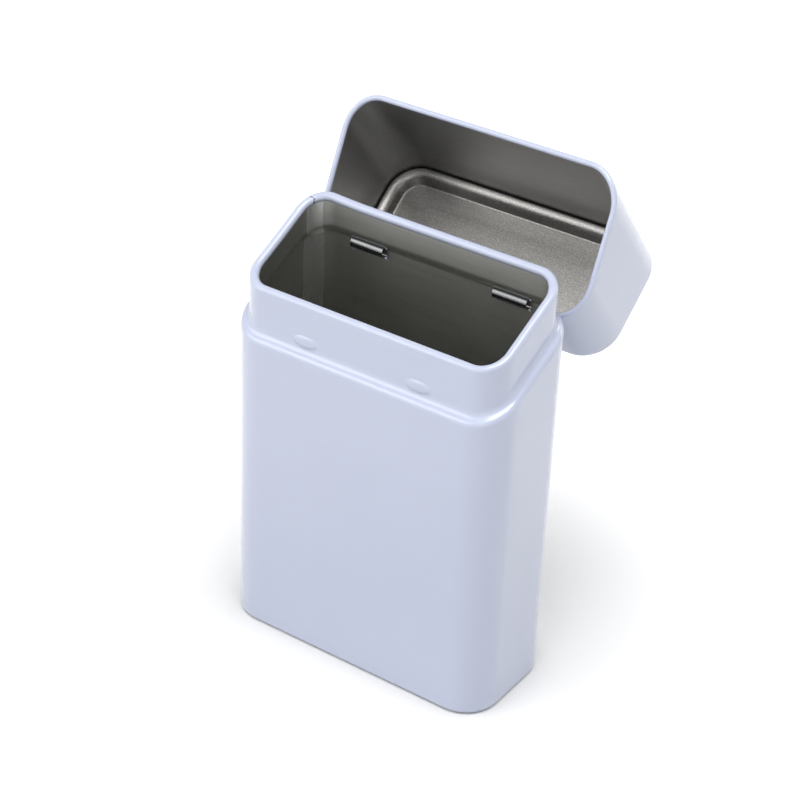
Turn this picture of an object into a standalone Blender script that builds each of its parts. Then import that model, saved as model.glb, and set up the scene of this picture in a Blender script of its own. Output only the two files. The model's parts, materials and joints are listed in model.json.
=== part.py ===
"""Slim pressed-tin case with a hinged flip-top lid, standing on its bottom and shown with the lid open.

X runs across the wide front, the front faces -Y, the hinge is along the back at +Y and Z points up.
The origin is on the surface it stands on, under the middle of the body.
"""
import math

import bmesh
import bpy
from mathutils import Matrix, Vector

mm = 0.001

# Overall form
width = 60.0 * mm
depth = 26.2 * mm
corner_radius = 7.3 * mm
sheet = 0.30 * mm
fit_gap = 0.20 * mm

# Heights half way back: the middle of the body's slanted shoulder, the neck's rim above it, and the lid by itself
shoulder_height = 70.80 * mm
neck_rise = 9.00 * mm
lid_height = 23.45 * mm
seam_slope_share = 0.50
rim_slope_share = 0.49
seam_gap = 0.35 * mm
seam_line_inset = 0.50 * mm

# Turned edges of the two wrapped bands
edge_radius = 1.20 * mm
flange_inset = 2.30 * mm
shoulder_radius = 1.30 * mm
neck_fillet = 1.70 * mm
shoulder_turn = 62.0
bead_radius = 0.90 * mm
bead_turn = 290.0
hem_radius = 0.55 * mm
hem_turn = 240.0

# Pressed end panels
ring_depth = 2.40 * mm
ring_bend = 0.35 * mm
ring_radius = 1.94 * mm
ring_turn = 64.0
step_foot_radius = 0.50 * mm
rim_end_setback = 0.40 * mm

# Hinge: a bar between two slots, and a tongue of the lid curled round it
open_angle = 140.3
axis_inset = 0.48 * mm
axis_drop = 1.49 * mm
hinge_spacing = 31.9 * mm
tongue_width = 7.3 * mm
tongue_sheet = 0.26 * mm
tongue_bend = 0.60 * mm
tongue_lap = 0.50 * mm
curl_end_angle = -180.0
bar_half_height = 0.60 * mm
hinge_clearance = 0.13 * mm
slot_clearance = 0.40 * mm
window_rise = 0.30 * mm

# Pips that hold the lid shut, pressed out of the neck's front
pip_spacing = 25.0 * mm
pip_length = 5.1 * mm
pip_height = 2.2 * mm
pip_proud = 0.35 * mm
pip_rise = 2.30 * mm

# Side seam of the body, folded flat inside one back corner
side_seam_width = 4.0 * mm
side_seam_proud = 0.35 * mm
side_seam_sink = 0.12 * mm

# How finely curves are divided, and how far a cutter runs past what it cuts
corner_steps = 8
bend_steps = 3
bead_steps = 9
overrun = 1.0 * mm

half_width = width / 2
half_depth = depth / 2
rim_height = shoulder_height + neck_rise
shoulder_angle = math.radians(shoulder_turn)
shoulder_foot = shoulder_height - shoulder_radius * math.sin(shoulder_angle)
neck_foot = shoulder_height + neck_fillet * math.sin(shoulder_angle)
neck_inset = (shoulder_radius + neck_fillet) * (1 - math.cos(shoulder_angle))
neck_back = half_depth - neck_inset

# The shut lid's rolled hem lies the seam gap clear of the shoulder's outer bend
hem_to_bend = shoulder_radius + hem_radius + seam_gap
hem_height = shoulder_foot + math.sqrt(hem_to_bend ** 2 - (shoulder_radius - hem_radius) ** 2) - hem_radius
closed_height = hem_height + lid_height

back_line = half_depth - seam_line_inset
shoulder_at_back = shoulder_height + seam_slope_share * back_line
pip_level = shoulder_height - seam_slope_share * back_line + pip_rise
hem_at_back = hem_height + seam_slope_share * back_line

axis_y = half_depth - axis_inset
axis_z = shoulder_at_back - axis_drop

flat = (0.0, 0.0)
seam = (seam_slope_share, seam_line_inset)
rim = (rim_slope_share, neck_inset + bead_radius)


def arc(centre, radius, start, end, steps, plane):
    """Points of an arc in a section: inset from the outside, height, and the plane that it follows."""
    points = []
    for step in range(steps + 1):
        angle = math.radians(start + (end - start) * step / steps)
        inset = centre[0] + radius * math.cos(angle)
        height = centre[1] + radius * math.sin(angle)
        points.append((inset, height, plane))
    return points


def side_of(path, distance):
    """The section's path moved sideways, to the left of its direction, with mitred corners."""
    moved = []
    for index, (inset, height, plane) in enumerate(path):
        here = Vector((inset, height))
        normals = []
        for first, second in ((index - 1, index), (index, index + 1)):
            if first >= 0 and second < len(path):
                run = Vector(path[second][:2]) - Vector(path[first][:2])
                normals.append(Vector((-run.y, run.x)).normalized())
        mean = sum(normals, Vector((0.0, 0.0))).normalized()
        reach = distance / mean.dot(normals[0])
        place = here + mean * reach
        moved.append((place.x, place.y, plane))
    return moved


def thickened(path, left, right):
    """Closed loop round a sheet that reaches left and right of the path."""
    return side_of(path, left) + side_of(path, -right)[::-1]


def corner_rays(steps=corner_steps):
    """Centre of the corner arc and outward direction for each point round the plan, anticlockwise."""
    rays = []
    across = half_width - corner_radius
    along = half_depth - corner_radius
    for quarter, (x, y) in enumerate(((across, along), (-across, along), (-across, -along), (across, -along))):
        for step in range(steps + 1):
            angle = math.radians(90.0 * (quarter + step / steps))
            rays.append((Vector((x, y)), Vector((math.cos(angle), math.sin(angle)))))
    return rays


def place_on(ray, point):
    """Where a section's point lies on one ray of the plan."""
    centre, outward = ray
    inset, height, (slope, line_inset) = point
    spot = centre + outward * (corner_radius - inset)
    line = centre.y + outward.y * (corner_radius - line_inset)
    return Vector((spot.x, spot.y, height + slope * line))


def extruded_ring(mesh, corners, edges, places):
    """The ring extruded once, with its copy's corners put at the given places."""
    swept = bmesh.ops.extrude_edge_only(mesh, edges=edges)["geom"]
    fresh = {item for item in swept if isinstance(item, bmesh.types.BMVert)}
    following = []
    for corner, place in zip(corners, places):
        ends = [edge.other_vert(corner) for edge in corner.link_edges]
        twin = next(end for end in ends if end in fresh)
        twin.co = place
        following.append(twin)
    new_edges = [item for item in swept if isinstance(item, bmesh.types.BMEdge) and fresh.issuperset(item.verts)]
    return following, new_edges


def sweep(mesh, stations, closed):
    """Skin through rings of places, either back to the first ring or filled at both ends."""
    corners = [mesh.verts.new(place) for place in stations[0]]
    edges = [mesh.edges.new(pair) for pair in zip(corners, corners[1:] + corners[:1])]
    first_corners, first_edges = corners, edges
    for places in stations[1:] + (stations[:1] if closed else []):
        corners, edges = extruded_ring(mesh, corners, edges, places)
    if closed:
        bmesh.ops.weld_verts(mesh, targetmap=dict(zip(corners, first_corners)))
    else:
        for end in (first_edges, edges):
            bmesh.ops.edgeloop_fill(mesh, edges=end)
    face_out(mesh)


def rings(loop, rays):
    """For each point of a section, its ring round the plan."""
    return [[place_on(ray, point) for ray in rays] for point in loop]


def face_out(mesh):
    """Turn every face of a closed shell outwards."""
    bmesh.ops.recalc_face_normals(mesh, faces=mesh.faces[:])
    if mesh.calc_volume(signed=True) < 0:
        bmesh.ops.reverse_faces(mesh, faces=mesh.faces[:])


def make_object(name, mesh, finish, shift=Vector((0.0, 0.0, 0.0))):
    """Object from a bmesh, moved so that its own origin is at the shift."""
    bmesh.ops.translate(mesh, verts=mesh.verts[:], vec=-shift)
    data = bpy.data.meshes.new(name)
    mesh.to_mesh(data)
    mesh.free()
    data.shade_smooth()
    data.set_sharp_from_angle(angle=math.radians(32.0))
    thing = bpy.data.objects.new(name, data)
    bpy.context.scene.collection.objects.link(thing)
    data.materials.append(finish)
    return thing


def finish_of(name, colour, roughness, metallic):
    material = bpy.data.materials.new(name)
    material.use_nodes = True
    shader = material.node_tree.nodes["Principled BSDF"]
    shader.inputs["Base Color"].default_value = (*colour, 1.0)
    shader.inputs["Roughness"].default_value = roughness
    shader.inputs["Metallic"].default_value = metallic
    return material


def cut_or_join(thing, tool, operation):
    """Boolean with a helper that stays hidden in the file."""
    modifier = thing.modifiers.new(tool.name, "BOOLEAN")
    modifier.operation = operation
    modifier.solver = "EXACT"
    modifier.object = tool
    tool.hide_render = True
    tool.display_type = "WIRE"


def block(mesh, low, high):
    """Rectangular block between two corners."""
    size = Vector(high) - Vector(low)
    middle = (Vector(high) + Vector(low)) / 2
    place = Matrix.Translation(middle) @ Matrix.Diagonal((*size, 1.0))
    bmesh.ops.create_cube(mesh, size=1.0, matrix=place)


def helper(name, mesh):
    data = bpy.data.meshes.new(name)
    mesh.to_mesh(data)
    mesh.free()
    thing = bpy.data.objects.new(name, data)
    bpy.context.scene.collection.objects.link(thing)
    return thing


def shoulder_path():
    """Section of the shoulder: the outer bend off the wall, then the hollow bend into the neck."""
    half = sheet / 2
    path = arc((shoulder_radius, shoulder_foot), shoulder_radius - half, 180, 180 - shoulder_turn, bend_steps, seam)
    path += arc((neck_inset - neck_fillet, neck_foot), neck_fillet + half, 360 - shoulder_turn, 360,
                bend_steps, seam)[1:]
    return path


def body_path():
    """Section of the body band, from the turned-in foot to the end of the rolled bead."""
    half = sheet / 2
    bead_centre = (neck_inset + bead_radius, rim_height - bead_radius)
    path = [(flange_inset, half, flat)]
    path += arc((edge_radius, edge_radius), edge_radius - half, 270, 180, bend_steps, flat)
    path += shoulder_path()
    path += arc(bead_centre, bead_radius - half, 180, 180 - bead_turn, bead_steps, rim)
    return path


def lid_path():
    """Section of the lid band, from the end of its rolled hem to the turned-in top edge."""
    half = sheet / 2
    top = closed_height
    path = arc((hem_radius, hem_height + hem_radius), hem_radius - half, hem_turn - 180, -180, bend_steps * 2, seam)
    path += arc((edge_radius, top - edge_radius), edge_radius - half, 180, 90, bend_steps, flat)
    path += [(flange_inset, top - half, flat)]
    return path


def panel_path():
    """Section of a pressed end panel from its curled rim to its flat middle; height is depth inwards."""
    half = sheet / 2
    lay = sheet + fit_gap + half
    turn = math.radians(ring_turn)
    crown = (lay + ring_bend, ring_depth - ring_radius)
    path = [(flange_inset - rim_end_setback, lay, flat)]
    path += arc((edge_radius, edge_radius), edge_radius - lay, 270, 180, bend_steps, flat)
    path += arc((lay + ring_bend, ring_depth - ring_bend), ring_bend, 180, 90, bend_steps, flat)[:-1]
    path += arc(crown, ring_radius, 90, 90 - ring_turn, bend_steps, flat)
    foot_top = half + step_foot_radius * (1 - math.cos(turn))
    run = (path[-1][1] - foot_top) / math.tan(turn)
    foot = (path[-1][0] + run + step_foot_radius * math.sin(turn), half + step_foot_radius)
    path += arc(foot, step_foot_radius, 270 - ring_turn, 270, bend_steps, flat)
    return path


def side_seam(rays):
    """Folded seam inside the back left corner, from above the bottom panel up to the bead."""
    half = sheet / 2
    foot = (half, ring_depth + half + fit_gap, flat)
    top = (neck_inset + half, rim_height - 2 * bead_radius, rim)
    loop = thickened([foot] + shoulder_path() + [top], -(half - side_seam_sink), half + side_seam_proud)
    mesh = bmesh.new()
    sweep(mesh, [[place_on(ray, point) for point in loop] for ray in rays], closed=False)
    return helper("side_seam_form", mesh)


def seam_rays():
    """Rays across the side seam, in the middle of the back left corner."""
    centre = Vector((-(half_width - corner_radius), half_depth - corner_radius))
    half_span = side_seam_width / (corner_radius - sheet) / 2
    rays = []
    for step in range(bend_steps + 1):
        angle = math.radians(135.0) + half_span * (2 * step / bend_steps - 1)
        rays.append((centre, Vector((math.cos(angle), math.sin(angle)))))
    return rays


def hinge_places():
    return (-hinge_spacing / 2, hinge_spacing / 2)


def curl_radius():
    """Radius of the middle of the curled tongue's sheet, which clears the corners of the bar inside it."""
    bar_corner = max(math.hypot(y, bar_half_height) for y in (axis_inset, axis_inset - sheet))
    return bar_corner + hinge_clearance + tongue_sheet / 2


def pip_forms(inset, shrink, name):
    """Flattened balls on the neck's front, for the pips' outer bumps or inner hollows."""
    mesh = bmesh.new()
    for x in (-pip_spacing / 2, pip_spacing / 2):
        size = (pip_length / 2 - shrink, pip_proud, pip_height / 2 - shrink)
        place = Matrix.Translation((x, -(half_depth - inset), pip_level)) @ Matrix.Diagonal((*size, 1.0))
        bmesh.ops.create_uvsphere(mesh, u_segments=16, v_segments=8, radius=1.0, matrix=place)
    return helper(name, mesh)


def hinge_slots():
    """Two slots at each hinge, which leave a strip of the wall between them as the hinge bar."""
    mesh = bmesh.new()
    half_slot = tongue_width / 2 + slot_clearance
    slot_reach = curl_radius() + tongue_sheet / 2 + slot_clearance
    for x in hinge_places():
        for low_z, high_z in ((bar_half_height, slot_reach), (-slot_reach, -bar_half_height)):
            low = (x - half_slot, neck_back, axis_z + low_z)
            high = (x + half_slot, half_depth + overrun, axis_z + high_z)
            block(mesh, low, high)
    return helper("hinge_slots", mesh)


def make_body_wall(finish):
    mesh = bmesh.new()
    half = sheet / 2
    sweep(mesh, rings(thickened(body_path(), half, half), corner_rays()), closed=True)
    body = make_object("body_wall", mesh, finish)
    cut_or_join(body, side_seam(seam_rays()), "UNION")
    cut_or_join(body, pip_forms(neck_inset, 0.0, "pip_bumps"), "UNION")
    cut_or_join(body, pip_forms(neck_inset + sheet, sheet, "pip_hollows"), "DIFFERENCE")
    cut_or_join(body, hinge_slots(), "DIFFERENCE")
    return body


def make_panel(name, finish, height_of, shift):
    """Pressed end panel, with its depth turned into height by height_of."""
    mesh = bmesh.new()
    half = sheet / 2
    path = panel_path()
    loop = side_of(path, half)[::-1] + side_of(path, -half)
    placed = [(inset, height_of(inwards), plane) for inset, inwards, plane in loop]
    sweep(mesh, rings(placed, corner_rays()), closed=False)
    return make_object(name, mesh, finish, shift)


def tongue_path():
    """Side view of a tongue, as Y and Z from the hinge axis: down the wall, outwards, and round the bar."""
    wall = axis_inset - sheet / 2
    radius = curl_radius()
    root = math.degrees(math.acos((wall + tongue_bend) / (radius + tongue_bend)))
    bend_centre_z = (radius + tongue_bend) * math.sin(math.radians(root))
    top = hem_at_back - axis_z + 2 * hem_radius + window_rise + tongue_lap
    path = [(wall, top, flat)]
    path += arc((wall + tongue_bend, bend_centre_z), tongue_bend, 180, 180 + root, bend_steps, flat)[:-1]
    path += arc((0.0, 0.0), radius, root, curl_end_angle, bend_steps * 4, flat)
    return path


def tongues(shift):
    """The two curled tongues, each its side view extruded to the tongue's width."""
    mesh = bmesh.new()
    loop = thickened(tongue_path(), tongue_sheet / 2, tongue_sheet / 2)
    for x in hinge_places():
        corners = [mesh.verts.new((x - tongue_width / 2, shift.y + y, shift.z + z)) for y, z, _ in loop]
        side = mesh.faces.new(corners)
        swept = bmesh.ops.extrude_face_region(mesh, geom=[side])["geom"]
        moved = [item for item in swept if isinstance(item, bmesh.types.BMVert)]
        bmesh.ops.translate(mesh, verts=moved, vec=(tongue_width, 0.0, 0.0))
    face_out(mesh)
    return mesh


def hem_windows(shift):
    """Gaps in the lid's hem where the tongues leave it."""
    mesh = bmesh.new()
    half_slot = tongue_width / 2 + slot_clearance
    for x in hinge_places():
        low = (x - half_slot, neck_back, hem_at_back - overrun)
        high = (x + half_slot, half_depth + overrun, hem_at_back + 2 * hem_radius + window_rise)
        block(mesh, low, high)
    bmesh.ops.translate(mesh, verts=mesh.verts[:], vec=-shift)
    return mesh


def make_lid(wall_finish, top_finish):
    """The lid is modelled shut and hangs on an empty at the hinge axis, turned to its open position."""
    axis = Vector((0.0, axis_y, axis_z))
    hinge = bpy.data.objects.new("hinge_axis", None)
    bpy.context.scene.collection.objects.link(hinge)
    hinge.location = axis
    hinge.rotation_euler = (-math.radians(open_angle), 0.0, 0.0)

    mesh = bmesh.new()
    half = sheet / 2
    sweep(mesh, rings(thickened(lid_path(), half, half), corner_rays()), closed=True)
    wall = make_object("lid_wall", mesh, wall_finish, axis)
    windows = helper("hem_windows", hem_windows(axis))
    curls = helper("tongue_forms", tongues(Vector((0.0, 0.0, 0.0))))
    cut_or_join(wall, windows, "DIFFERENCE")
    cut_or_join(wall, curls, "UNION")
    top = make_panel("lid_top", top_finish, lambda inwards: closed_height - inwards, axis)
    for thing in (wall, top, windows, curls):
        thing.parent = hinge


def main():
    for thing in list(bpy.data.objects):
        bpy.data.objects.remove(thing)
    make_body_wall(finish_of("body_wall_enamel", (0.60, 0.62, 0.74), 0.35, 0.0))
    base_finish = finish_of("body_bottom_tinplate", (0.45, 0.45, 0.42), 0.30, 0.9)
    make_panel("body_bottom", base_finish, lambda inwards: inwards, Vector((0.0, 0.0, 0.0)))
    make_lid(finish_of("lid_wall_enamel", (0.60, 0.62, 0.74), 0.35, 0.0),
             finish_of("lid_top_tinplate", (0.45, 0.45, 0.42), 0.30, 0.9))


main()
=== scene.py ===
import json
import math

import bmesh
import bpy
from mathutils import Matrix, Vector


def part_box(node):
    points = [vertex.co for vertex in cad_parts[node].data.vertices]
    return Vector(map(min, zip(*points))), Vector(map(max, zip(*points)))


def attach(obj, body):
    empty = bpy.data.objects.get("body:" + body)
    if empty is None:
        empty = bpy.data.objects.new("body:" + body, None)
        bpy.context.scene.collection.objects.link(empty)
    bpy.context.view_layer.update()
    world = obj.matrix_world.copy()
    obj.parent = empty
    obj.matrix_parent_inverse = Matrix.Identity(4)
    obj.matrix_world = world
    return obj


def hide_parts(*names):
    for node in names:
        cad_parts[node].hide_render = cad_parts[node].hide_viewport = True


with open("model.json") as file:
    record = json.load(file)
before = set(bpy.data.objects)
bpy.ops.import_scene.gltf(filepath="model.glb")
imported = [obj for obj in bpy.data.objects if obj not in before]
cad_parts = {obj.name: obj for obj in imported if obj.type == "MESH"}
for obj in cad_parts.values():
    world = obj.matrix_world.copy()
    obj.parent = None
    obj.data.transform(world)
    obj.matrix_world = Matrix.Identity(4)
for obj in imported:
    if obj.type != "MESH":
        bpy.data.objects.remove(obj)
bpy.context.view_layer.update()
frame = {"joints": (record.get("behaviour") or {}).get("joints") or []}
print("frame loaded")

mm = 0.001

# Sizes that both bands and both end panels share
tin = dict(
    halfWidth=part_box("body_wall")[1].x,
    halfDepth=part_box("body_wall")[1].y,
    cornerRadius=7.3 * mm,
    sheet=0.30 * mm,
    fitGap=0.20 * mm,
    edgeRadius=1.20 * mm,
    flangeInset=2.30 * mm,
    shoulderHeight=70.80 * mm,  # half way back, in the middle of the shoulder's curve
    seamSlope=0.50,  # how steeply the line between body and lid climbs towards the back
    seamLineInset=0.50 * mm,
    cornerSteps=20,
    sideCuts=6,
    sharpAngle=35.0,  # degrees from which an edge stays sharp
)
half = tin["sheet"] / 2
sameSpot = half / 100  # corners closer than this are one
onPlane = half / 1000  # corners closer than this to a cut are on it
levelSlack = half / 10  # faces closer than this in height are level
# How much higher that line is at the back than half way there
seamAtBack = tin["seamSlope"] * (tin["halfDepth"] - tin["seamLineInset"])
frontDegrees = 270  # where the middle of the front lies round the plan
cornerX = tin["halfWidth"] - tin["cornerRadius"]
cornerY = tin["halfDepth"] - tin["cornerRadius"]
hingeJoint = frame["joints"][0]
hingeAxis = Vector(hingeJoint["pos_m"])
openAngle = math.radians(max(hingeJoint["range_deg"]))
openLid = (Matrix.Translation(hingeAxis) @ Matrix.Rotation(-openAngle, 4, "X")
           @ Matrix.Translation(-hingeAxis))


class Wire:  # a line in a side view, drawn by extruding and spinning its tip
    def __init__(self, mesh, y, z, x=0.0):
        self.mesh = mesh
        self.tip = mesh.verts.new((x, y, z))

    def run(self, y, z, cuts=1):
        start = self.tip.co.copy()
        end = Vector((start.x, y, z))
        for cut in range(cuts):
            self.tip = bmesh.ops.extrude_vert_indiv(self.mesh, verts=[self.tip])["verts"][0]
            self.tip.co = start.lerp(end, (cut + 1) / cuts)

    def bend(self, y, z, degrees, steps):
        made = bmesh.ops.spin(self.mesh, geom=[self.tip], cent=(self.tip.co.x, y, z), axis=(1, 0, 0),
                              angle=math.radians(degrees), steps=steps, use_merge=False)
        self.tip = [item for item in made["geom_last"] if isinstance(item, bmesh.types.BMVert)][0]


def frontY(inset):
    return inset - tin["halfDepth"]


def pickEdges(items):
    return [item for item in items if isinstance(item, bmesh.types.BMEdge)]


def pickVerts(items):
    return [item for item in items if isinstance(item, bmesh.types.BMVert)]


def pushEdges(mesh, edges, vector, cuts):
    for cut in range(cuts):
        made = bmesh.ops.extrude_edge_only(mesh, edges=edges)["geom"]
        bmesh.ops.translate(mesh, verts=pickVerts(made), vec=Vector(vector) / cuts)
        fresh = set(pickVerts(made))
        edges = [edge for edge in pickEdges(made) if fresh.issuperset(edge.verts)]
    return edges


def spinEdges(mesh, edges, centre, degrees, steps):
    verts = list({vert for edge in edges for vert in edge.verts})
    made = bmesh.ops.spin(mesh, geom=verts + edges, cent=centre, axis=(0, 0, 1),
                          angle=math.radians(degrees), steps=steps, use_merge=False)
    return pickEdges(made["geom_last"])


def sweepRound(mesh, frontCuts, backCuts):
    # Carries the side view round the whole plan, from the middle of the front and back to it
    edges = mesh.edges[:]
    halfFront = (cornerX, 0.0, 0.0)
    edges = pushEdges(mesh, edges, halfFront, frontCuts)
    sides = (((cornerX, -cornerY), (0.0, 2 * cornerY, 0.0), tin["sideCuts"]),
             ((cornerX, cornerY), (-2 * cornerX, 0.0, 0.0), backCuts),
             ((-cornerX, cornerY), (0.0, -2 * cornerY, 0.0), tin["sideCuts"]),
             ((-cornerX, -cornerY), halfFront, frontCuts))
    for centre, vector, cuts in sides:
        edges = spinEdges(mesh, edges, (*centre, 0.0), 90, tin["cornerSteps"])
        edges = pushEdges(mesh, edges, vector, cuts)
    bmesh.ops.remove_doubles(mesh, verts=mesh.verts[:], dist=sameSpot)


def planRay(place):
    # The nearest point of the plan's core, and the way from it to a point
    centre = Vector((max(-cornerX, min(cornerX, place.x)), max(-cornerY, min(cornerY, place.y))))
    return centre, place.xy - centre


def lineY(place, inset):
    # How far back the plan's outline lies beside a point, on the line at this inset
    centre, way = planRay(place)
    return centre.y + way.normalized().y * (tin["cornerRadius"] - inset)


def ramp(value, low, high):
    return max(0.0, min(1.0, (value - low) / (high - low)))


def faceOut(mesh):
    # The face that lies furthest to the front has to look forwards
    bmesh.ops.recalc_face_normals(mesh, faces=mesh.faces[:])
    front = min(mesh.faces, key=lambda face: face.calc_center_median().y)
    if front.normal.y > 0:
        bmesh.ops.reverse_faces(mesh, faces=mesh.faces[:])


def newPiece(name, mesh, materials, place=None):
    if place:
        bmesh.ops.transform(mesh, matrix=place, verts=mesh.verts[:])
    data = bpy.data.meshes.new(name)
    mesh.to_mesh(data)
    mesh.free()
    piece = bpy.data.objects.new(name, data)
    bpy.context.scene.collection.objects.link(piece)
    for material in materials:
        data.materials.append(material)
    return piece


def giveSheet(piece, thickness, innerSlot=1):
    solidify = piece.modifiers.new("sheet", "SOLIDIFY")
    solidify.thickness = thickness
    solidify.offset = 0.0
    solidify.use_even_offset = True
    solidify.use_rim = True
    solidify.material_offset = innerSlot
    solidify.material_offset_rim = innerSlot


def cutOrJoin(piece, tool, operation):
    boolean = piece.modifiers.new(tool.name, "BOOLEAN")
    boolean.operation = operation
    boolean.solver = "EXACT"
    boolean.object = tool


def settle(piece, tools=()):
    # Applies the modifiers, smooths the faces, drops the helpers and weights the normals
    depsgraph = bpy.context.evaluated_depsgraph_get()
    data = bpy.data.meshes.new_from_object(piece.evaluated_get(depsgraph))
    piece.modifiers.clear()
    piece.data = data
    data.shade_smooth()
    data.set_sharp_from_angle(angle=math.radians(tin["sharpAngle"]))
    for tool in tools:
        bpy.data.objects.remove(tool)
    weighted = piece.modifiers.new("weighted", "WEIGHTED_NORMAL")
    weighted.keep_sharp = True


def blockTool(name, boxes):
    mesh = bmesh.new()
    for low, high in boxes:
        size = Vector(high) - Vector(low)
        middle = (Vector(high) + Vector(low)) / 2
        place = Matrix.Translation(middle) @ Matrix.Diagonal((*size, 1.0))
        bmesh.ops.create_cube(mesh, size=1.0, matrix=place)
    return newPiece(name, mesh, [])


class Shade:  # a socket that sums can be written on
    def __init__(self, tree, socket=None):
        self.tree = tree
        self.socket = socket

    def node(self, kind, settings=None, inputs=None, out=0):
        made = self.tree.nodes.new(kind)
        for name, value in (settings or {}).items():
            setattr(made, name, value)
        for name, value in (inputs or {}).items():
            if isinstance(value, Shade):
                self.tree.links.new(value.socket, made.inputs[name])
            else:
                made.inputs[name].default_value = value
        return Shade(self.tree, made.outputs[out])

    def out(self, name):
        return Shade(self.tree, self.socket.node.outputs[name])

    def maths(self, operation, first, second):
        return self.node("ShaderNodeMath", {"operation": operation}, {0: first, 1: second})

    def between(self, low, high):
        # 0 at the first value, 1 at the second
        return self.node("ShaderNodeMapRange", {}, {"Value": self, "From Min": low, "From Max": high})

    def __add__(self, other):
        return self.maths("ADD", self, other)

    def __sub__(self, other):
        return self.maths("SUBTRACT", self, other)

    def __mul__(self, other):
        return self.maths("MULTIPLY", self, other)

    def __abs__(self):
        return self.maths("ABSOLUTE", self, 0.0)

    def __rsub__(self, other):
        return self.maths("SUBTRACT", other, self)

    __radd__ = __add__
    __rmul__ = __mul__


def startMaterial(name):
    material = bpy.data.materials.new(name)
    material.use_nodes = True
    shader = material.node_tree.nodes["Principled BSDF"]
    return material, material.node_tree, shader, Shade(material.node_tree)


def stretched(shade, scale):
    coordinates = shade.node("ShaderNodeTexCoord", out="Object")
    return shade.node("ShaderNodeMapping", {}, {"Vector": coordinates, "Scale": scale})


def noise(shade, vector, scale, detail=2.0, roughness=0.5):
    return shade.node("ShaderNodeTexNoise", {}, {"Vector": vector, "Scale": scale, "Detail": detail,
                                                "Roughness": roughness})


def tintMix(shade, factor, first, second):
    # The node has sockets of the same name for each type, so its colour ones go by number
    first, second = ((*tint, 1.0) if isinstance(tint, tuple) else tint for tint in (first, second))
    return shade.node("ShaderNodeMix", {"data_type": "RGBA"}, {0: factor, 6: first, 7: second}, out=2)


def link(tree, shade, shader, name):
    tree.links.new(shade.socket, shader.inputs[name])


noiseMiddle = 0.5  # a noise runs from 0 to 1 about this

enamelLook = dict(
    pale=(0.592, 0.640, 0.800),
    deep=(0.562, 0.610, 0.772),
    roughness=0.22,
    roughnessSpread=0.06,
    coat=0.8,
    coatRoughness=0.14,
    cloudSize=16.0 * mm,
    peelSize=1.1 * mm,
    peelDepth=0.0015 * mm,
)

# Hair crack in the enamel, where the bead is rolled over the side seam
crackLook = dict(
    angle=135.0,  # degrees round the plan
    middle=5.2 * mm,  # out from the corner's centre, as the next one
    fadeIn=1.0 * mm,
    offset=1.45 * mm,
    lean=-0.75,
    width=0.18 * mm,
    coreShare=0.3,  # of the width, as dark as it gets
    wander=1.1 * mm,
    wanderSize=0.7 * mm,
    lowest=81.6 * mm,
    tint=(0.10, 0.105, 0.12),
)


def hairCrack(shade, place, crack):
    angle = math.radians(crack["angle"])
    spot = shade.node("ShaderNodeSeparateXYZ", {}, {0: place})
    x = spot + cornerX
    y = spot.out("Y") - cornerY
    along = x * -math.sin(angle) + y * math.cos(angle)
    outwards = x * math.cos(angle) + y * math.sin(angle)
    wander = (noise(shade, place, 1 / crack["wanderSize"]) - noiseMiddle) * crack["wander"]
    onRim = spot.out("Z").between(crack["lowest"], crack["lowest"] + half)
    mask = outwards.between(0.0, crack["fadeIn"]) * onRim
    across = along + (outwards - crack["middle"]) * crack["lean"] + wander - crack["offset"]
    return mask * abs(across).between(crack["width"], crack["coreShare"] * crack["width"])


def makeEnamel(name, look, crack=None):
    material, tree, shader, shade = startMaterial(name)
    place = stretched(shade, (1.0, 1.0, 1.0))
    clouds = noise(shade, place, 1 / look["cloudSize"], detail=3.0)
    tint = tintMix(shade, clouds, look["deep"], look["pale"])
    if crack:
        tint = tintMix(shade, hairCrack(shade, place, crack), tint, crack["tint"])
    link(tree, tint, shader, "Base Color")
    link(tree, look["roughness"] + (clouds - noiseMiddle) * look["roughnessSpread"], shader, "Roughness")
    shader.inputs["Coat Weight"].default_value = look["coat"]
    shader.inputs["Coat Roughness"].default_value = look["coatRoughness"]
    peel = noise(shade, place, 1 / look["peelSize"], detail=1.0)
    bump = shade.node("ShaderNodeBump", {}, {"Strength": 1.0, "Distance": look["peelDepth"],
                                             "Height": peel})
    link(tree, bump, shader, "Normal")
    return material


# Inner side of the body's band: smooth, with faint rolling lines along the tin's width
neckTinLook = dict(
    bright=(0.60, 0.605, 0.57),
    dark=(0.47, 0.475, 0.44),
    spark=(0.66, 0.66, 0.64),
    sparkShare=0.10,
    sparkScale=1.3,  # how many times finer than the grain
    sparkRange=(0.56, 0.70),
    roughness=0.46,
    roughnessSpread=0.10,
    grainSize=0.22 * mm,
    grainDepth=0.0012 * mm,
    grainRoughness=0.6,
    rollSize=0.7 * mm,
    rollStretch=0.05,
    rollDepth=0.4,  # how many grains deep the rolling lines are
    cloudSize=9.0 * mm,
    swell=6.0,  # how many grains deep the slow waves are
    # How much of each goes into the change of colour and roughness
    grainShare=0.5,
    rollShare=0.3,
    cloudShare=0.2,
    tintRange=(0.3, 0.7),
)

# The lid's inner side: the neck's tinplate painted darker, as painted shade for the dark surroundings
# that it mirrors
lidTinShadedLook = dict(
    neckTinLook,
    bright=(0.46, 0.46, 0.455),
    dark=(0.34, 0.34, 0.335),
    roughness=0.42,
)

# The pressed end panels: the same sheet with its grain opened by the press, and a darker tone than the
# neck's as painted shade for the dark surroundings that they mirror
panelTinShadedLook = dict(
    neckTinLook,
    bright=(0.43, 0.42, 0.40),
    dark=(0.28, 0.275, 0.265),
    spark=(0.80, 0.775, 0.74),
    sparkShare=0.50,
    roughness=0.37,
    grainDepth=0.005 * mm,
    swell=4.0,
)

# The folded side seam, painted brighter than the wall that it lies on: painted light for the light that
# it reflects strongly
seamTinLitLook = dict(
    neckTinLook,
    bright=(0.90, 0.90, 0.87),
    dark=(0.74, 0.74, 0.71),
    roughness=0.42,
)
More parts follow.
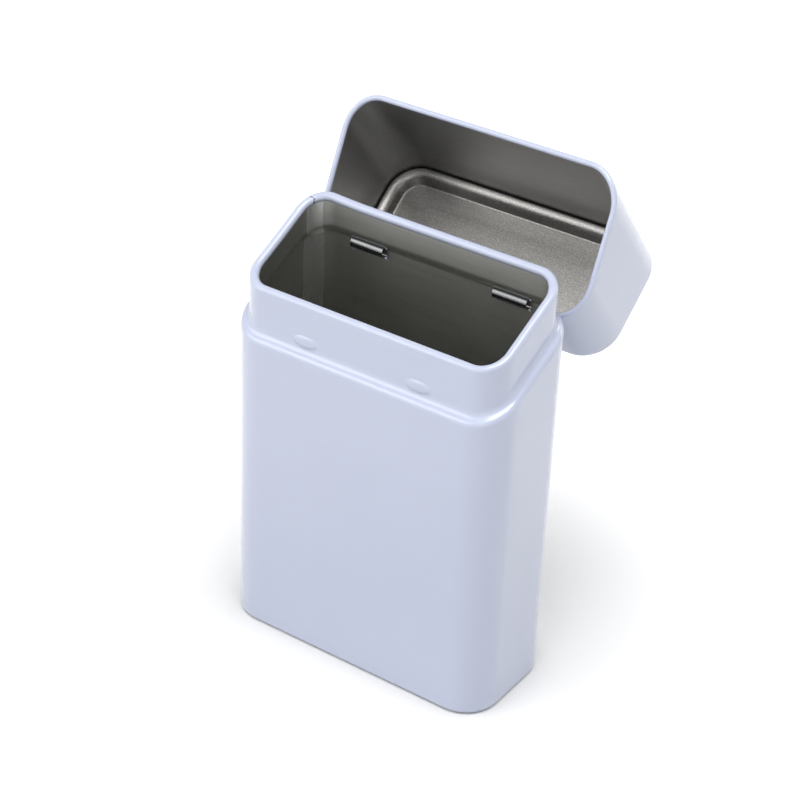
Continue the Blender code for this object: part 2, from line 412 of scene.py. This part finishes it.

# The curled tongues, painted darker than the neck's tinplate: painted shade for the dark inside of the
# tin that they mirror
tongueTinShadedLook = dict(
    neckTinLook,
    bright=(0.26, 0.265, 0.27),
    dark=(0.16, 0.165, 0.17),
    roughness=0.24,
)


def makeTinplate(name, look):
    material, tree, shader, shade = startMaterial(name)
    plain = stretched(shade, (1.0, 1.0, 1.0))
    rolled = stretched(shade, (look["rollStretch"], 1.0, 1.0))
    grain = noise(shade, plain, 1 / look["grainSize"], roughness=look["grainRoughness"])
    roll = noise(shade, rolled, 1 / look["rollSize"])
    clouds = noise(shade, plain, 1 / look["cloudSize"])
    mixed = grain * look["grainShare"] + roll * look["rollShare"] + clouds * look["cloudShare"]
    tint = tintMix(shade, mixed.between(*look["tintRange"]), look["dark"], look["bright"])
    specks = noise(shade, plain, look["sparkScale"] / look["grainSize"], detail=0.0)
    sparks = specks.between(*look["sparkRange"]) * look["sparkShare"]
    link(tree, tintMix(shade, sparks, tint, look["spark"]), shader, "Base Color")
    shader.inputs["Metallic"].default_value = 1.0
    link(tree, look["roughness"] + (mixed - noiseMiddle) * look["roughnessSpread"], shader, "Roughness")
    height = grain + roll * look["rollDepth"] + clouds * look["swell"]
    bump = shade.node("ShaderNodeBump", {}, {"Strength": 1.0, "Distance": look["grainDepth"],
                                             "Height": height})
    link(tree, bump, shader, "Normal")
    return material


bodyEnamel = makeEnamel("lavender_white_enamel_body", enamelLook, crackLook)
enamel = makeEnamel("lavender_white_enamel", enamelLook)
neckTin = makeTinplate("bare_tinplate_neck", neckTinLook)
lidTinShaded = makeTinplate("bare_tinplate_lid_painted_shade", lidTinShadedLook)
seamTinLit = makeTinplate("bare_tinplate_side_seam_painted_light", seamTinLitLook)
tongueTinShaded = makeTinplate("bare_tinplate_tongue_painted_shade", tongueTinShadedLook)
panelTinShaded = makeTinplate("bare_tinplate_panel_painted_shade", panelTinShadedLook)
print("materials made")

bodyBand = dict(
    shoulderRadius=1.30 * mm,  # outer bend, off the wall
    neckFillet=1.70 * mm,  # hollow bend, into the neck
    shoulderTurn=62.0,
    neckRise=9.00 * mm,
    beadRadius=0.90 * mm,
    beadTurn=290.0,
    rimSlope=0.49,
    seamLift=0.45 * mm,  # the rim stands a little high over the side seam
    seamLiftReach=7.0 * mm,
    edgeSteps=10,
    wallCuts=10,
    bendSteps=12,
    neckCuts=54,
    beadSteps=28,
    frontCuts=90,
    backCuts=30,
)
shoulderTurn = math.radians(bodyBand["shoulderTurn"])
shoulderFoot = tin["shoulderHeight"] - bodyBand["shoulderRadius"] * math.sin(shoulderTurn)
neckFoot = tin["shoulderHeight"] + bodyBand["neckFillet"] * math.sin(shoulderTurn)
neckInset = (bodyBand["shoulderRadius"] + bodyBand["neckFillet"]) * (1 - math.cos(shoulderTurn))
rimHeight = tin["shoulderHeight"] + bodyBand["neckRise"]

pips = dict(
    spacing=25.0 * mm,
    length=5.1 * mm,
    height=2.2 * mm,
    proud=0.35 * mm,
    rise=2.30 * mm,  # above the middle of the front's shoulder
    outline=2.4,  # 2 is an ellipse, higher is squarer
    crown=4.6,  # higher is a flatter top with a steeper edge
)

hinge = dict(
    spacing=31.9 * mm,
    tongueWidth=7.3 * mm,
    tongueSheet=0.26 * mm,
    tongueBend=0.60 * mm,
    tongueLap=0.50 * mm,
    curlRadius=1.028 * mm,
    curlEnd=-180.0,
    bendSteps=8,
    curlSteps=28,
    barHalfHeight=0.60 * mm,
    slotReach=1.558 * mm,
    slotMargin=0.40 * mm,
    overrun=1.0 * mm,
)
hingePlaces = (-hinge["spacing"] / 2, hinge["spacing"] / 2)

sideSeam = dict(
    width=4.0 * mm,
    thickness=0.35 * mm,
    sunk=tin["sheet"] / 6,  # into the wall that it lies on
    middle=135.0,  # degrees round the plan, in the back left corner
    footHeight=2.75 * mm,
    bendSteps=8,
    neckCuts=4,
    turnSteps=10,
)
seamCorner = Vector((-cornerX, cornerY, 0.0))


def slantBody(mesh):
    neckTop = rimHeight - bodyBand["beadRadius"]
    angle = math.radians(sideSeam["middle"])
    outwards = Vector((math.cos(angle), math.sin(angle)))
    seamPlace = seamCorner.xy + outwards * (tin["cornerRadius"] - neckInset)
    for vert in mesh.verts:
        toSeam = ramp(vert.co.z, tin["edgeRadius"], shoulderFoot)
        toRim = ramp(vert.co.z, neckFoot, neckTop)
        inBead = planRay(vert.co)[1].length < tin["cornerRadius"] - neckInset - 2 * tin["sheet"]
        if inBead and vert.co.z > neckFoot:
            toRim = 1.0
        seamShift = tin["seamSlope"] * lineY(vert.co, tin["seamLineInset"])
        rimShift = bodyBand["rimSlope"] * lineY(vert.co, neckInset + bodyBand["beadRadius"])
        away = (vert.co.xy - seamPlace).length / bodyBand["seamLiftReach"]
        rimShift += bodyBand["seamLift"] * math.exp(-away ** 2)
        vert.co.z += toSeam * (1 - toRim) * seamShift + toRim * rimShift


def drawBody(wire, inwards, bendSteps):
    # Up the wall and over the shoulder into the neck, this far inwards of the sheet's middle
    turn = bodyBand["shoulderTurn"]
    wire.run(frontY(half + inwards), shoulderFoot, bodyBand["wallCuts"])
    wire.bend(frontY(bodyBand["shoulderRadius"]), shoulderFoot, -turn, bendSteps)
    wire.bend(frontY(neckInset - bodyBand["neckFillet"]), neckFoot, turn, bendSteps)


def pressPips(mesh):
    level = tin["shoulderHeight"] - seamAtBack + pips["rise"]
    for vert in mesh.verts:
        onNeck = abs(vert.co.y - frontY(neckInset + half)) < half
        for middle in (-pips["spacing"] / 2, pips["spacing"] / 2):
            across = abs(vert.co.x - middle) / (pips["length"] / 2)
            upwards = abs(vert.co.z - level) / (pips["height"] / 2)
            reach = (across ** pips["outline"] + upwards ** pips["outline"]) ** (1 / pips["outline"])
            if onNeck and reach < 1.0:
                vert.co.y -= pips["proud"] * (1 - reach ** pips["crown"])


def makeBodyWall():
    mesh = bmesh.new()
    edge = tin["edgeRadius"]
    wire = Wire(mesh, frontY(tin["flangeInset"]), half)
    wire.run(frontY(edge), half)
    wire.bend(frontY(edge), edge, -90, bodyBand["edgeSteps"])
    drawBody(wire, 0.0, bodyBand["bendSteps"])
    wire.run(frontY(neckInset + half), rimHeight - bodyBand["beadRadius"], bodyBand["neckCuts"])
    wire.bend(frontY(neckInset + bodyBand["beadRadius"]), rimHeight - bodyBand["beadRadius"],
              -bodyBand["beadTurn"], bodyBand["beadSteps"])
    sweepRound(mesh, bodyBand["frontCuts"], bodyBand["backCuts"])
    slantBody(mesh)
    pressPips(mesh)
    faceOut(mesh)
    piece = newPiece("tin_body", mesh, [bodyEnamel, neckTin])
    giveSheet(piece, tin["sheet"])
    slots = []
    reach = hinge["tongueWidth"] / 2 + hinge["slotMargin"]
    back = tin["halfDepth"]
    levels = (hinge["barHalfHeight"], hinge["slotReach"])
    for x in hingePlaces:
        for low, high in (levels, (-levels[1], -levels[0])):
            slots.append(((x - reach, back - neckInset, hingeAxis.z + low),
                          (x + reach, back + hinge["overrun"], hingeAxis.z + high)))
    tool = blockTool("slot_tool", slots)
    cutOrJoin(piece, tool, "DIFFERENCE")
    settle(piece, [tool])
    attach(piece, "body")
    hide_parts("body_wall")


def makeSideSeam():
    mesh = bmesh.new()
    inwards = half + sideSeam["thickness"] / 2 - sideSeam["sunk"]
    wire = Wire(mesh, frontY(half + inwards), sideSeam["footHeight"])
    drawBody(wire, inwards, sideSeam["bendSteps"])
    wire.run(frontY(neckInset + half + inwards), rimHeight - 2 * bodyBand["beadRadius"],
             sideSeam["neckCuts"])
    spread = math.degrees(sideSeam["width"] / (tin["cornerRadius"] - tin["sheet"]))
    start = sideSeam["middle"] - spread / 2
    turn = Matrix.Rotation(math.radians(start - frontDegrees), 4, "Z")
    place = Matrix.Translation(seamCorner) @ turn @ Matrix.Translation((0.0, cornerY, 0.0))
    bmesh.ops.transform(mesh, matrix=place, verts=mesh.verts[:])
    spinEdges(mesh, mesh.edges[:], seamCorner, spread, sideSeam["turnSteps"])
    slantBody(mesh)
    bmesh.ops.recalc_face_normals(mesh, faces=mesh.faces[:])
    piece = newPiece("tin_side_seam", mesh, [seamTinLit])
    giveSheet(piece, sideSeam["thickness"], 0)
    settle(piece)
    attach(piece, "body")


endPanel = dict(
    ringDepth=2.40 * mm,
    ringBend=0.35 * mm,
    ringRadius=1.94 * mm,
    ringTurn=64.0,
    footRadius=0.50 * mm,
    endSetback=0.40 * mm,
    flatInset=6.2 * mm,
    edgeSteps=8,
    ringSteps=12,
    footSteps=10,
    flatCuts=2,
    frontCuts=8,
    backCuts=16,
    pillow=0.22 * mm,  # how far the flat middle swells inwards
    pillowEdge=3.0,  # higher is flatter in the middle and steeper at the edge
    pillowCuts=(30, 12),
)


def isInside(place, reach):
    return abs(place.x) < reach.x and abs(place.y) < reach.y and abs(place.z - half) < levelSlack


def pillowMiddle(mesh):
    # The filled middle is cut into a grid, then swollen between its edges
    reach = Vector((tin["halfWidth"] - endPanel["flatInset"], tin["halfDepth"] - endPanel["flatInset"]))
    for axis, cuts in enumerate(endPanel["pillowCuts"]):
        normal = Vector((1.0 - axis, axis, 0.0))
        for cut in range(1, cuts):
            middle = [face for face in mesh.faces if isInside(face.calc_center_median(), reach)]
            around = list({item for face in middle for item in (*face.edges, *face.verts)})
            bmesh.ops.bisect_plane(mesh, geom=middle + around, dist=onPlane,
                                   plane_co=normal * reach[axis] * (2 * cut / cuts - 1), plane_no=normal)
    for vert in mesh.verts:
        if isInside(vert.co, reach):
            sides = [1 - abs(vert.co[axis] / reach[axis]) ** endPanel["pillowEdge"] for axis in (0, 1)]
            vert.co.z += endPanel["pillow"] * sides[0] * sides[1]


def makePanel(name, topHeight):
    # Drawn as the bottom, with depth as height, and mirrored for the lid's top
    mesh = bmesh.new()
    lay = tin["sheet"] + tin["fitGap"] + half
    edge = tin["edgeRadius"]
    depth = endPanel["ringDepth"]
    bend = endPanel["ringBend"]
    crown = endPanel["ringRadius"]
    foot = endPanel["footRadius"]
    turn = math.radians(endPanel["ringTurn"])
    wire = Wire(mesh, frontY(tin["flangeInset"] - endPanel["endSetback"]), lay)
    wire.run(frontY(edge), lay)
    wire.bend(frontY(edge), edge, -90, endPanel["edgeSteps"])
    wire.run(frontY(lay), depth - bend)
    wire.bend(frontY(lay + bend), depth - bend, -90, endPanel["edgeSteps"])
    wire.bend(frontY(lay + bend), depth - crown, -endPanel["ringTurn"], endPanel["ringSteps"])
    drop = wire.tip.co.z - half - foot * (1 - math.cos(turn))
    footY = wire.tip.co.y + drop / math.tan(turn) + foot * math.sin(turn)
    wire.run(footY - foot * math.sin(turn), half + foot * (1 - math.cos(turn)))
    wire.bend(footY, half + foot, endPanel["ringTurn"], endPanel["footSteps"])
    wire.run(frontY(endPanel["flatInset"]), half, endPanel["flatCuts"])
    sweepRound(mesh, endPanel["frontCuts"], endPanel["backCuts"])
    inner = [side for side in mesh.edges if side.is_boundary
             and abs(side.verts[0].co.x) < tin["halfWidth"] - endPanel["flatInset"] + half
             and abs(side.verts[0].co.y) < tin["halfDepth"] - endPanel["flatInset"] + half]
    bmesh.ops.edgeloop_fill(mesh, edges=inner)
    pillowMiddle(mesh)
    faceOut(mesh)
    place = None
    # The skirt's side that faces the wall runs on as the panel's inner side, so the faces are turned
    # over to put the enamel outside. For the lid's top, the mirroring does that.
    if topHeight:
        bmesh.ops.transform(mesh, matrix=Matrix.Diagonal((1.0, 1.0, -1.0, 1.0)), verts=mesh.verts[:])
        bmesh.ops.translate(mesh, verts=mesh.verts[:], vec=(0.0, 0.0, topHeight))
        place = openLid
    else:
        bmesh.ops.reverse_faces(mesh, faces=mesh.faces[:])
    piece = newPiece(name, mesh, [enamel, panelTinShaded], place)
    giveSheet(piece, tin["sheet"])
    settle(piece)
    return piece


lidBand = dict(
    height=23.45 * mm,
    seamGap=0.35 * mm,
    hemRadius=0.55 * mm,
    hemTurn=240.0,
    windowRise=0.30 * mm,
    hemSteps=20,
    wallCuts=6,
    edgeSteps=10,
    frontCuts=8,
    backCuts=30,
)
hemClear = bodyBand["shoulderRadius"] + lidBand["hemRadius"] + lidBand["seamGap"]
hemAside = bodyBand["shoulderRadius"] - lidBand["hemRadius"]
hemHeight = shoulderFoot + math.sqrt(hemClear ** 2 - hemAside ** 2) - lidBand["hemRadius"]
hemAtBack = hemHeight + seamAtBack
lidTop = hemHeight + lidBand["height"]
lidMaterials = [enamel, lidTinShaded, tongueTinShaded]


def slantLid(mesh):
    for vert in mesh.verts:
        toTop = ramp(vert.co.z, hemHeight + 2 * lidBand["hemRadius"], lidTop - tin["edgeRadius"])
        vert.co.z += (1 - toTop) * tin["seamSlope"] * lineY(vert.co, tin["seamLineInset"])


def makeTongues():
    mesh = bmesh.new()
    wall = tin["halfDepth"] - hingeAxis.y - half
    bend = hinge["tongueBend"]
    curl = hinge["curlRadius"]
    root = math.acos((wall + bend) / (curl + bend))
    bendZ = hingeAxis.z + (curl + bend) * math.sin(root)
    top = hemAtBack + 2 * lidBand["hemRadius"] + lidBand["windowRise"] + hinge["tongueLap"]
    wallY = hingeAxis.y + wall
    for x in hingePlaces:
        wire = Wire(mesh, wallY, top, x - hinge["tongueWidth"] / 2)
        wire.run(wallY, bendZ)
        wire.bend(wallY + bend, bendZ, math.degrees(root), hinge["bendSteps"])
        wire.bend(hingeAxis.y, hingeAxis.z, hinge["curlEnd"] - math.degrees(root), hinge["curlSteps"])
    pushEdges(mesh, mesh.edges[:], (hinge["tongueWidth"], 0.0, 0.0), 1)
    bmesh.ops.recalc_face_normals(mesh, faces=mesh.faces[:])
    for face in mesh.faces:
        face.material_index = lidMaterials.index(tongueTinShaded)
    piece = newPiece("lid_tongue_tool", mesh, lidMaterials)
    giveSheet(piece, hinge["tongueSheet"], 0)
    return piece


def makeLidWall():
    mesh = bmesh.new()
    hem = lidBand["hemRadius"]
    tilt = math.radians(lidBand["hemTurn"] - 180)
    edge = tin["edgeRadius"]
    wire = Wire(mesh, frontY(hem + (hem - half) * math.cos(tilt)),
                hemHeight + hem + (hem - half) * math.sin(tilt))
    wire.bend(frontY(hem), hemHeight + hem, -lidBand["hemTurn"], lidBand["hemSteps"])
    wire.run(frontY(half), lidTop - edge, lidBand["wallCuts"])
    wire.bend(frontY(edge), lidTop - edge, -90, lidBand["edgeSteps"])
    wire.run(frontY(tin["flangeInset"]), lidTop - half)
    sweepRound(mesh, lidBand["frontCuts"], lidBand["backCuts"])
    slantLid(mesh)
    faceOut(mesh)
    piece = newPiece("tin_lid", mesh, lidMaterials)
    giveSheet(piece, tin["sheet"])
    reach = hinge["tongueWidth"] / 2 + hinge["slotMargin"]
    back = tin["halfDepth"]
    windowTop = hemAtBack + 2 * hem + lidBand["windowRise"]
    windows = [((x - reach, back - neckInset, hemAtBack - hinge["overrun"]),
                (x + reach, back + hinge["overrun"], windowTop)) for x in hingePlaces]
    windowTool = blockTool("window_tool", windows)
    tongueTool = makeTongues()
    cutOrJoin(piece, windowTool, "DIFFERENCE")
    cutOrJoin(piece, tongueTool, "UNION")
    settle(piece, [windowTool, tongueTool])
    piece.data.transform(openLid)
    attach(piece, "lid")
    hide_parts("lid_wall")


makeBodyWall()
print("body wall made")
makeSideSeam()
print("side seam made")
bottom = makePanel("tin_bottom", None)
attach(bottom, "body")
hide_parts("body_bottom")
top = makePanel("tin_lid_top", lidTop)
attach(top, "lid")
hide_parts("lid_top")
print("end panels made")
makeLidWall()
print("lid made")

cameraPlace = dict(
    azimuth=33.88,
    elevation=31.12,
    distance=392.5 * mm,
    target=(0.3 * mm, 1.09 * mm, 53.47 * mm),
    roll=2.55,
    focalPixels=2108.0,
    imagePixels=800.0,
    sensor=36.0,
    clipStart=10 * mm,
)


def makeCamera():
    azimuth = math.radians(cameraPlace["azimuth"])
    elevation = math.radians(cameraPlace["elevation"])
    roll = math.radians(cameraPlace["roll"])
    back = Vector((math.sin(azimuth) * math.cos(elevation), -math.cos(azimuth) * math.cos(elevation),
                   math.sin(elevation)))
    right = Vector((math.cos(azimuth), math.sin(azimuth), 0.0))
    up = back.cross(right)
    across = right * math.cos(roll) + up * math.sin(roll)
    upward = up * math.cos(roll) - right * math.sin(roll)
    data = bpy.data.cameras.new("camera")
    data.sensor_width = cameraPlace["sensor"]
    data.lens = cameraPlace["focalPixels"] / cameraPlace["imagePixels"] * cameraPlace["sensor"]
    data.clip_start = cameraPlace["clipStart"]
    camera = bpy.data.objects.new("camera", data)
    bpy.context.scene.collection.objects.link(camera)
    turn = Matrix((across, upward, back)).transposed().to_4x4()
    place = Vector(cameraPlace["target"]) + back * cameraPlace["distance"]
    camera.matrix_world = Matrix.Translation(place) @ turn
    bpy.context.scene.camera = camera


studio = dict(
    floorSize=4.0,
    floorColour=(0.71, 0.71, 0.71),
    floorRoughness=0.9,
    # Under the tin and far from it, seen by the camera and in reflections only
    floorGlow=(0.25, 0.62),
    glowPlaces=(0.035, 0.10),
    crevice=6.0 * mm,
    creviceSamples=8,
    ceilingLight=0.23,
    wallLight=0.30,  # on top of that, in a band part of the way up
    wallFoot=0.20,
    wallMiddle=0.50,
    wallTop=0.80,
    # Place, size and radiance of each soft lamp
    lamps=dict(
        key=((-0.25, -0.40, 0.55), 0.34, 0.95),
        front=((0.20, -0.62, 0.36), 0.18, 2.0),
        left=((-0.42, -0.45, 0.41), 0.46, 1.6),
        top=((0.11, -0.17, 0.79), 0.50, 5.5),
        right=((0.36, 0.22, 0.62), 0.30, 0.8),
        back=((0.39, 0.53, 0.42), 0.20, 4.5),
    ),
)


def makeLight(name, place, size, radiance):
    data = bpy.data.lights.new(name, "AREA")
    data.shape = "SQUARE"
    data.size = size
    data.energy = radiance * math.pi * size ** 2
    lamp = bpy.data.objects.new(name, data)
    bpy.context.scene.collection.objects.link(lamp)
    lamp.location = place
    aim = Vector(cameraPlace["target"]) - Vector(place)
    lamp.rotation_euler = aim.to_track_quat("-Z", "Y").to_euler()


def makeFloor():
    mesh = bmesh.new()
    bmesh.ops.create_grid(mesh, x_segments=1, y_segments=1, size=studio["floorSize"] / 2)
    paper, tree, shader, shade = startMaterial("floor_paper")
    shader.inputs["Base Color"].default_value = (*studio["floorColour"], 1.0)
    shader.inputs["Roughness"].default_value = studio["floorRoughness"]
    rays = shade.node("ShaderNodeLightPath", out="Is Camera Ray")
    seen = (rays + rays.out("Is Glossy Ray") + rays.out("Is Transmission Ray")).between(0.0, 1.0)
    place = shade.node("ShaderNodeTexCoord", out="Object")
    away = shade.node("ShaderNodeVectorMath", {"operation": "LENGTH"}, {0: place}, out="Value")
    near, far = studio["floorGlow"]
    clear = shade.node("ShaderNodeAmbientOcclusion", {"samples": studio["creviceSamples"]},
                       {"Distance": studio["crevice"]}, out="AO")
    strength = seen * clear * (away.between(*studio["glowPlaces"]) * (far - near) + near)
    glow = shade.node("ShaderNodeEmission", {}, {"Strength": strength})
    both = shade.node("ShaderNodeAddShader", {}, {0: Shade(tree, shader.outputs[0]), 1: glow})
    tree.links.new(both.socket, tree.nodes["Material Output"].inputs["Surface"])
    newPiece("floor", mesh, [paper])


def makeWorld():
    world = bpy.data.worlds.new("studio_world")
    bpy.context.scene.world = world
    world.use_nodes = True
    shade = Shade(world.node_tree)
    ray = shade.node("ShaderNodeSeparateXYZ", {}, {0: shade.node("ShaderNodeTexCoord")})
    height = ray.out("Z").between(0.0, 1.0)
    rise = height.between(studio["wallFoot"], studio["wallMiddle"])
    fall = height.between(studio["wallTop"], studio["wallMiddle"])
    light = rise * fall * studio["wallLight"] + studio["ceilingLight"]
    rays = shade.node("ShaderNodeLightPath", out="Is Camera Ray")
    mirrored = rays.out("Is Glossy Ray") + rays.out("Is Transmission Ray")
    seen = rays + mirrored * (1.0 - height) * (1.0 - height)
    strength = light + seen.between(0.0, 1.0) * (1.0 - light)
    link(world.node_tree, strength, world.node_tree.nodes["Background"], "Strength")
    world.node_tree.nodes["Background"].inputs["Color"].default_value = (1.0, 1.0, 1.0, 1.0)


makeCamera()
makeFloor()
makeWorld()
for name, (place, size, radiance) in studio["lamps"].items():
    makeLight(name, place, size, radiance)
bpy.context.scene.view_settings.view_transform = "Standard"
print("camera and studio made")
